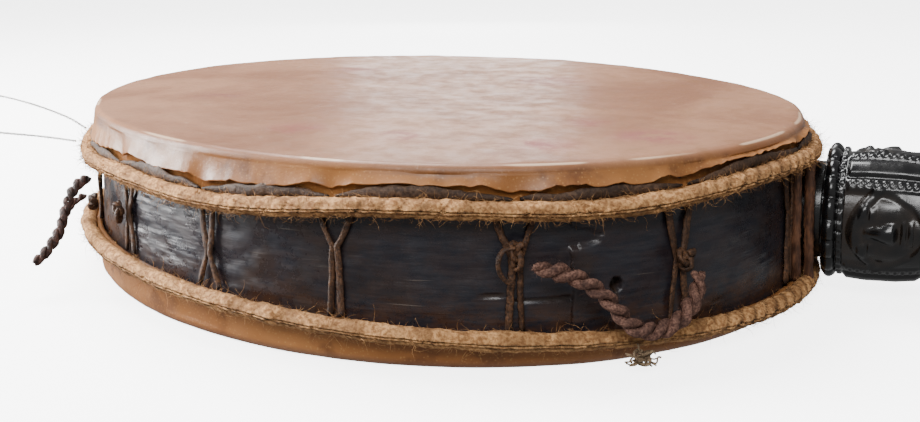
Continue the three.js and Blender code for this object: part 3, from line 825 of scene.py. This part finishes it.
def build_knot(name, node, angle_degrees, sizes_mm, thickness, material, seed, tails=()):
    along, up, out = drum_axes(angle_degrees)
    centre = box_middle(node)
    path = knot_path(centre, along, up, out, sizes_mm, 0.97, seed)
    parts = [strand(path, thickness, thickness * 0.72, 10, 3.0, None, 0.2, seed)]
    for tail in tails:
        points = [centre + MM * (x * along + y * up + w * out) for x, y, w in tail]
        fine = spline(points, 30)
        taper = thickness * np.linspace(1, 0.55, 30)
        parts.append(strand(fine, taper, taper * 0.6, 10, 2.0, None, 0.2, seed + 1))
    points, faces = joined(parts)
    shade = 0.4 * (noise(points, 0.003, seed) > 0.3)
    add_piece(name, points, faces, material, [node], "thong", {"shade_and_marks": shade})


def build_neck_bands(material):
    """Strips of hide that run between the hoops on either side of the handle's neck."""
    parts = []
    for side, (degrees, wide, reach) in itertools.product((-1, 1), ((8.3, 2.6, 2.4), (6.8, 2.4, 7.2))):
        angle = side * math.radians(degrees)
        t = np.linspace(0, 1, 40)
        top, foot = upper_hoop_height(angle) - 0.002, lower_hoop_height(angle) + 0.002
        z = top + (foot - top) * t
        bow = 0.0012 * np.sin(np.pi * t) + 0.0004 * wander(t, 0.2, 5, reach)
        path = drum_point(angle + side * bow / 0.19, shell_radius(z) + MM * reach + 0.001, z)
        _, _, out = drum_axes(math.degrees(angle))
        out = np.tile(out, (len(t), 1))
        parts.append(strand(path, 0.0016, MM * wide, 14, 0.15 * side, out, 0.16, 90 + int(reach)))
    points, faces = joined(parts)
    add_piece("neck_bands", points, faces, material, slot="thong", fields={"shade_and_marks": np.zeros(len(points))})


FRONT_CORD_ROUTE = (
    (324, 207.4, 37.5), (323.7, 209.2, 33.5), (323, 210.6, 29.5), (321.9, 212, 25.6), (320, 213.8, 22),
    (317.6, 214.8, 19.8), (315.3, 214.6, 20.6), (313.7, 213, 24.5), (312.7, 210.8, 29.5),
    (311.7, 208.6, 34.4), (310.2, 206.4, 38.8), (308.4, 204.6, 42.3), (306.3, 203, 44.8), (304.2, 202, 46.2),
)
SIDE_CORD_ROUTE = (
    (221.5, 184.5, 52.5), (222.5, 189.5, 50.5), (223.8, 193.8, 46.5), (224.8, 196.6, 41), (225.6, 198.8, 35),
    (226.4, 201.6, 29.6), (227.2, 205.6, 24.8), (228, 210, 20.8), (228.6, 214.2, 17.6),
)
SIDE_ARM_ROUTE = ((216.5, 188.5, 40), (219.5, 194.5, 37.5), (222.5, 197.8, 33.5), (226, 201.8, 30.2))
WIRE_ROUTE = (
    (202, 195.6, 67), (199.4, 210, 72), (195.6, 238, 77), (192.6, 268, 79.5), (191.6, 292, 78.5),
    (194.2, 306, 74.5),
    (198.4, 302, 70), (201.4, 276, 67), (203.6, 243, 66), (207.6, 214, 66.2), (213, 191.8, 66.5),
)


def route_points(route):
    angle, radius, z = np.array(route).T
    angle = np.radians(angle)
    return np.stack([radius * np.cos(angle), radius * np.sin(angle), z], -1) * MM


def twisted(path, diameter, plies, pitch, sides, start_taper, end_taper, seed):
    """Plies laid round each other along a path. Their outside is the cord's diameter."""
    side, out = frames_along(path)
    run = np.concatenate([[0], np.cumsum(np.linalg.norm(np.diff(path, axis=0), axis=1))])
    ply = 0.27 * diameter
    ends = np.interp(run / run[-1], [0, 0.06, 0.9, 1], [start_taper, 1, 1, end_taper])
    parts = []
    for k in range(plies):
        phase = 2 * np.pi * (k / plies + run / pitch) + 0.4 * wander(run, 0.02, seed)
        spread = (0.5 * diameter - ply) * ends * (1 + 0.10 * wander(run, 0.006, seed + 2, k))
        line = path + (spread * np.cos(phase))[:, None] * side + (spread * np.sin(phase))[:, None] * out
        thick = ply * ends * (1 + 0.14 * wander(run, 0.008, seed + 5, 3 * k))
        parts.append(strand(line, thick, thick * 0.88, sides, 9.0, None, 0.22, seed + 7 + k))
    return parts


def build_front_cord(material):
    s = sizes()
    path = spline(route_points(FRONT_CORD_ROUTE), 240)
    parts = twisted(path, s.front_cord, 2, 0.0145, 14, 0.8, 0.62, 11)
    rng = np.random.default_rng(5)
    fibres = 420
    index = rng.integers(10, 236, fibres)
    heading = np.gradient(path, axis=0)[index]
    heading /= np.linalg.norm(heading, axis=1)[:, None]
    direction = rng.normal(0, 1, (fibres, 3)) + 2.2 * heading
    direction /= np.linalg.norm(direction, axis=1, keepdims=True)
    normal = rng.normal(0, 1, (fibres, 3))
    normal /= np.linalg.norm(normal, axis=1, keepdims=True)
    roots = path[index] + normal * 0.36 * s.front_cord
    parts.append(hairs(roots, direction, rng.uniform(0.001, 0.0042, fibres), 0.00012, 0.6, rng))
    points, faces = joined(parts)
    fields = {"shade_and_marks": 0.35 * (noise(points, 0.002, 3) > 0.25)}
    cord = add_piece("front_cord_twisted", points, faces, material, ["front_cord"], "hide_cord", fields)


def build_side_arm(material):
    """The second arm of the loop at the left, from the wall's knot to the cord."""
    s = sizes()
    path = spline(route_points(SIDE_ARM_ROUTE), 60)
    points, faces = joined(twisted(path, 0.7 * s.side_cord, 2, 0.012, 10, 0.8, 0.9, 27))
    fields = {"shade_and_marks": np.zeros(len(points))}
    add_piece("side_cord_arm", points, faces, material, slot="hide_cord", fields=fields)


def build_side_cord(material):
    s = sizes()
    path = spline(route_points(SIDE_CORD_ROUTE), 150)
    parts = twisted(path, s.side_cord, 2, 0.011, 12, 0.6, 0.8, 21)
    points, faces = joined(parts)
    cord = add_piece("side_cord_twisted", points, faces, material, ["side_cord"], "hide_cord",
                     {"shade_and_marks": 0.5 * (noise(points, 0.002, 3) > 0.1)})


def build_wire(material):
    s = sizes()
    path = spline(route_points(WIRE_ROUTE), 420)
    points, faces = joined(twisted(path, s.wire, 2, 0.0052, 8, 1, 1, 31))
    add_piece("hanging_wire_twisted", points, faces, material, ["hanging_wire"], "wire")


def build_tuft(material):
    along, up, out = drum_axes(316.5)
    low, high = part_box("fibre_tuft")
    centre = np.array((low + high) / 2)
    rng = np.random.default_rng(17)
    parts = []
    for k in range(16):
        turn = rng.uniform(0, 2 * np.pi)
        steps = np.linspace(0, 1, 6)
        reach = rng.uniform(4, 9.5)
        x = reach * steps * np.cos(turn) + rng.normal(0, 1.1, 6)
        y = reach * 0.55 * steps * np.sin(turn) + rng.normal(0, 0.9, 6)
        y = np.clip(y, -6.2, 6)
        w = np.clip(rng.normal(0, 1.0, 6), -2.0, 2.4)
        points = [centre + MM * (x[i] * along + y[i] * up + w[i] * out) for i in range(6)]
        parts.append(strand(spline(points, 26), 0.00042, 0.0003, 7, 3, None, 0.2, k))
    path = knot_path(centre, along, up, out, (5, 3.4, 1.6), 0.97, 1.0)
    parts.append(strand(path, 0.00085, 0.0006, 9, 3, None, 0.2, 77))
    points, faces = joined(parts)
    points[:, 2] = np.clip(points[:, 2], low.z, None)
    fields = {"shade_and_marks": np.zeros(len(points))}
    add_piece("fibre_tuft_frayed", points, faces, material, ["fibre_tuft"], "fibre", fields)


# Handle ------------------------------------------------------------------------

NECK_START, COLLAR_START, COLLAR_END, BEADS_END = 186, 206.4, 212.5, 215
FACE_START, FACE_END, BLADE_START, TIP = 216, 251, 318, 428
HANDLE_PROFILE = (
    (NECK_START, 23.5), (COLLAR_START - 0.4, 23.5), (COLLAR_START, 31), (208.5, 33), (COLLAR_END, 32.2),
    (COLLAR_END + 0.4, 30.4), (BEADS_END, 30.6), (FACE_START, 30.6), (226, 31.4), (240, 31), (FACE_END, 29.5),
    (256, 24), (259, 21), (262, 21), (264, 25), (270, 25.5), (272, 20), (280, 16.5), (286, 19.5), (292, 21.5),
    (298, 19.5), (304, 16.5), (311, 20), (313, 25.5), (BLADE_START, 26), (322, 27.5), (340, 24.5),
    (370, 18.5),
    (400, 12), (421, 6.5), (TIP, 3.4),
)
FACE_COUNT = 3
FACE_DIRECTION = math.radians(186)
COLLAR_LOBES = 18
HANDLE_HEIGHT, HANDLE_RISE = 38.6, math.radians(1.2)


def face_relief(down, across):
    """Relief of one face in millimetres: down runs from brow to chin, across is in degrees."""
    side = np.abs(across)
    half = 40 * np.sqrt(np.clip(1 - np.clip(down, 0, 1) ** 3, 0, 1))
    inside = (down > 0) & (down < 1) & (side < half)
    niche = -1.9 * np.clip((half - side) / 6, 0, 1)
    nose = 3.6 * bump(across, 0, 5 + 6 * smoothstep(down, 0.3, 0.62))
    nose = nose * smoothstep(down, 0.2, 0.56) * smoothstep(down, 0.70, 0.60)
    brow = 1.6 * bump(down, 0.14 + 0.0002 * side * side, 0.1)
    eye = 1.5 * bump(side, 17, 8) * bump(down, 0.3, 0.12)
    lid = -0.5 * bump(side, 17, 8.5) * bump(down, 0.31, 0.02)
    lips = 1.5 * (bump(down, 0.755, 0.045) + bump(down, 0.835, 0.045)) * bump(across, 0, 14)
    cheek = 1.4 * bump(side, 20, 13) * bump(down, 0.58, 0.26)
    chin = 1.6 * bump(across, 0, 14) * bump(down, 0.95, 0.12)
    return np.where(inside, niche + nose + brow + eye + lid + lips + cheek + chin, 0)


def braid_relief(x, across):
    """Between the faces: a smooth lock of hair with a scaly band and a fine rib on either side."""
    side = np.abs(across)
    along = smoothstep(x, FACE_START, FACE_START + 2) * smoothstep(x, FACE_END + 1, FACE_END - 3)
    lock = 1.7 * np.sqrt(bump(side, 60, 9.5)) - 1.1 * bump(side, 49.5, 2.2)
    scales = np.abs(np.sin(0.95 * x + 0.42 * side)) * np.abs(np.sin(0.95 * x - 0.42 * side))
    band = bump(side, 44, 4.6)
    rib = 0.9 * bump(side, 38.5, 1.4)
    return along * (lock + np.sqrt(band) * (0.35 + 0.75 * scales) + rib)


def build_handle(material):
    s = sizes()
    neck, carved, rest = np.arange(NECK_START, 206, 1.2), np.arange(206, 262, 0.34), np.arange(262, TIP, 0.9)
    stations = np.unique(np.concatenate([neck, carved, rest, [TIP]]))
    around = 240
    ring = np.linspace(0, 2 * np.pi, around, endpoint=False) + FACE_DIRECTION
    x, angle = np.meshgrid(stations, ring, indexing="ij")
    at, size = np.array(HANDLE_PROFILE, float).T
    radius = np.interp(x, at, size)
    turn = angle - FACE_DIRECTION
    sector = 2 * np.pi / FACE_COUNT
    face_across = np.degrees(np.mod(turn + sector / 2, sector) - sector / 2)
    blade = np.clip((x - BLADE_START) / 12, 0, 1)
    radius = radius * (1 - 0.32 * blade * (0.5 - 0.5 * np.cos(FACE_COUNT * turn)) ** 0.8)
    lobe = np.abs(np.cos(COLLAR_LOBES / 2 * turn)) ** 0.55
    half = (COLLAR_END - COLLAR_START) / 2 + 0.4
    belly = np.sqrt(np.clip(1 - ((x - COLLAR_START - half) / half) ** 2, 0, 1))
    radius = np.where(belly > 0, 27.6 + 5.2 * belly * (0.42 + 0.58 * lobe), radius)
    bead = np.sqrt(bump(x, 214.2, 1.5)) * np.sqrt(np.abs(np.sin(COLLAR_LOBES * turn)))
    radius = radius - 1.4 * bump(x, 214.2, 1.9) + 1.8 * bead
    down = (x - FACE_START) / (FACE_END - FACE_START)
    radius = radius + face_relief(down, face_across) + braid_relief(x, face_across)
    along, across, up = x - NECK_START, radius * np.cos(angle), radius * np.sin(angle)
    cosine, sine = math.cos(HANDLE_RISE), math.sin(HANDLE_RISE)
    place_x = NECK_START + cosine * along - sine * up
    place_z = HANDLE_HEIGHT + sine * along + cosine * up
    shade_and_marks = np.clip(-face_relief(down, face_across) / 2, 0, 1)
    points = np.stack([place_x, across, place_z], -1) * MM
    # the neck's end follows the curved wall of the shell
    for _ in range(4):
        where = np.arctan2(points[0, :, 1], points[0, :, 0])
        wall = (shell_radius(points[0, :, 2]) + s.gap) * oval(where)
        points[0, :, 0] = wall * np.cos(where)
    rows = len(stations)
    faces = [face[::-1] for face in grid_faces(rows, around)]
    faces.append(list(range(around)))
    faces.append([(rows - 1) * around + i for i in range(around)][::-1])
    add_piece("handle_carved", points, faces, material, ["handle"], "handle_wood", {"shade_and_marks": shade_and_marks})


# Stage ---------------------------------------------------------------------------


def add_camera():
    camera = bpy.data.cameras.new("Camera")
    camera.sensor_width = 36
    camera.lens = 43.04
    camera.dof.use_dof = False
    camera.clip_start = 0.01
    holder = bpy.data.objects.new("Camera", camera)
    bpy.context.scene.collection.objects.link(holder)
    holder.location = (0.24416, -0.54840, 0.16976)
    aim = Vector((0.00882, 0.00901, 0.01781))
    rotation = (aim - holder.location).to_track_quat("-Z", "Y")
    holder.rotation_mode = "QUATERNION"
    holder.rotation_quaternion = rotation @ Quaternion((0, 0, 1), math.radians(-0.36))
    bpy.context.scene.camera = holder


LIGHT_AIM = Vector((0, 0, 0.03))


def add_light(name, energy, size, location):
    lamp = bpy.data.lights.new(name, "AREA")
    lamp.shape = "RECTANGLE"
    lamp.size, lamp.size_y = size
    lamp.energy = energy
    holder = bpy.data.objects.new(name, lamp)
    bpy.context.scene.collection.objects.link(holder)
    holder.location = location
    holder.rotation_mode = "QUATERNION"
    holder.rotation_quaternion = (LIGHT_AIM - Vector(location)).to_track_quat("-Z", "Y")


def add_floor():
    reach, level = 6.0, -0.0002
    points = [(x * reach, y * reach, level) for x, y in ((-1, -1), (1, -1), (1, 1), (-1, 1))]
    mesh = bpy.data.meshes.new("floor")
    mesh.from_pydata(points, [], [(0, 1, 2, 3)])
    mesh.materials.append(floor_finish())
    floor = bpy.data.objects.new("floor", mesh)
    bpy.context.scene.collection.objects.link(floor)
    floor.visible_diffuse = False
    floor.visible_glossy = False


def add_sky():
    world = bpy.data.worlds.new("Studio")
    world.use_nodes = True
    world.node_tree.nodes["Background"].inputs["Color"].default_value = (1, 1, 1, 1)
    world.node_tree.nodes["Background"].inputs["Strength"].default_value = 0.38
    bpy.context.scene.world = world


# Operators -------------------------------------------------------------------------


class DRUM_OT_stage(bpy.types.Operator):
    """Camera, floor and soft studio light"""

    bl_idname = "drum.stage"
    bl_label = "Stage"

    def execute(self, context):
        add_camera()
        add_floor()
        add_sky()
        add_light("Key", 62, (1.2, 0.9), (-0.6, 0.35, 1.5))
        add_light("Sheen", 2.4, (0.45, 0.12), (-0.62, 1.5, 0.28))
        add_light("Left", 56, (0.5, 0.9), (-1.2, -0.35, 0.4))
        add_light("Front", 24, (1.0, 0.6), (0.3, -1.3, 1.1))
        return {"FINISHED"}


class DRUM_OT_cords(bpy.types.Operator):
    """The two stiff twisted cords and their knots"""

    bl_idname = "drum.cords"
    bl_label = "Cords"

    def execute(self, context):
        c = colours()
        build_front_cord(fibrous_finish("Twisted hide cord", c.cord, c.cord_shade, 0.0009))
        dark = fibrous_finish("Dark side cord", c.side_cord, c.side_cord_shade, 0.0009, 0.55)
        build_side_cord(dark)
        build_side_arm(dark)
        return {"FINISHED"}


class DRUM_OT_shell(bpy.types.Operator):
    """The bent-wood shell with its lap joint"""

    bl_idname = "drum.shell"
    bl_label = "Shell"

    def execute(self, context):
        build_shell()
        return {"FINISHED"}


class DRUM_OT_skins(bpy.types.Operator):
    """The two hides stretched over the shell"""

    bl_idname = "drum.skins"
    bl_label = "Skins"

    def execute(self, context):
        material = skin_finish()
        build_upper_skin(material)
        build_lower_skin(material)
        return {"FINISHED"}


class DRUM_OT_hoops(bpy.types.Operator):
    """The fuzzy hide-wrapped hoops"""

    bl_idname = "drum.hoops"
    bl_label = "Hoops"

    def execute(self, context):
        s, c = sizes(), colours()
        material = fibrous_finish("Hide roll", c.roll, c.roll_shade, 0.0016, 0.85)
        build_hoop("upper_hoop", s.rim_radius, upper_hoop_height, 3, material, 6500)
        build_hoop("lower_hoop", s.rim_radius + s.flare, lower_hoop_height, 8, material, 3500)
        return {"FINISHED"}


class DRUM_OT_lacing(bpy.types.Operator):
    """The thong that laces the hoops together, with its knots"""

    bl_idname = "drum.lacing"
    bl_label = "Lacing"

    def execute(self, context):
        c = colours()
        strand_material = fibrous_finish("Dried thong", c.strand, c.strand_shade, 0.0012, 0.55)
        flat_material = fibrous_finish("Flat thong", c.thong, c.thong_shade, 0.0016, 0.6)
        band_material = fibrous_finish("Dark hide band", c.band, c.band_shade, 0.0014, 0.5, (1, 1, 0.2))
        for index in range(len(LACING_ANGLES)):
            build_lacing(index, strand_material)
            build_thong_run(index, flat_material)
        build_knot("front_cord_knot", "knot_front_cord", 324, (4.4, 4.4, 1.4), 0.0016, strand_material, 2)
        build_knot("thong_bow", "knot_bow", 303, (2.8, 6, 1.2), 0.0014, strand_material, 3,
                   [((-1, 3, 0.5), (-6, 2, 1), (-8, -4, 1.4), (-5, -10, 1.2), (-1, -12, 0.6))])
        build_knot("side_cord_knot", "knot_side_cord", 218.5, (3.6, 3.6, 1.4), 0.0015, strand_material, 4)
        build_knot("left_knot", "knot_left", 236.2, (3.2, 5, 1.2), 0.0014, strand_material, 5)
        build_neck_bands(band_material)
        return {"FINISHED"}


class DRUM_OT_trim(bpy.types.Operator):
    """The wire loop and the frayed fibre tuft"""

    bl_idname = "drum.trim"
    bl_label = "Wire and tuft"

    def execute(self, context):
        build_wire(wire_finish())
        c = colours()
        build_tuft(fibrous_finish("Frayed fibre", c.fibre, c.fibre_shade, 0.0008, 0.9))
        return {"FINISHED"}


class DRUM_OT_handle(bpy.types.Operator):
    """The carved handle"""

    bl_idname = "drum.handle"
    bl_label = "Handle"

    def execute(self, context):
        build_handle(handle_finish())
        return {"FINISHED"}


OPERATORS = (
    DRUM_OT_stage, DRUM_OT_cords, DRUM_OT_shell, DRUM_OT_skins,
    DRUM_OT_hoops, DRUM_OT_lacing, DRUM_OT_trim, DRUM_OT_handle,
)


class DRUM_PT_panel(bpy.types.Panel):
    """Lists the pieces, sizes and colours in the 3D view's sidebar"""

    bl_label = "Frame drum"
    bl_idname = "DRUM_PT_panel"
    bl_space_type = "VIEW_3D"
    bl_region_type = "UI"
    bl_category = "Drum"

    def draw(self, context):
        for operator in OPERATORS:
            self.layout.operator(operator.bl_idname)
        for group in (context.scene.drum_sizes, context.scene.drum_colours):
            for key in group.__annotations__:
                self.layout.prop(group, key)


CLASSES = (DrumSizes, DrumColours, *OPERATORS, DRUM_PT_panel)


def register():
    for cls in CLASSES:
        bpy.utils.register_class(cls)
    bpy.types.Scene.drum_sizes = PointerProperty(type=DrumSizes)
    bpy.types.Scene.drum_colours = PointerProperty(type=DrumColours)


def unregister():
    del bpy.types.Scene.drum_colours
    del bpy.types.Scene.drum_sizes
    for cls in reversed(CLASSES):
        bpy.utils.unregister_class(cls)


def main():
    register()
    bpy.ops.drum.stage()
    bpy.ops.drum.cords()
    bpy.ops.drum.shell()
    bpy.ops.drum.skins()
    bpy.ops.drum.hoops()
    bpy.ops.drum.lacing()
    bpy.ops.drum.trim()
    bpy.ops.drum.handle()


if __name__ == "__main__":
    main()
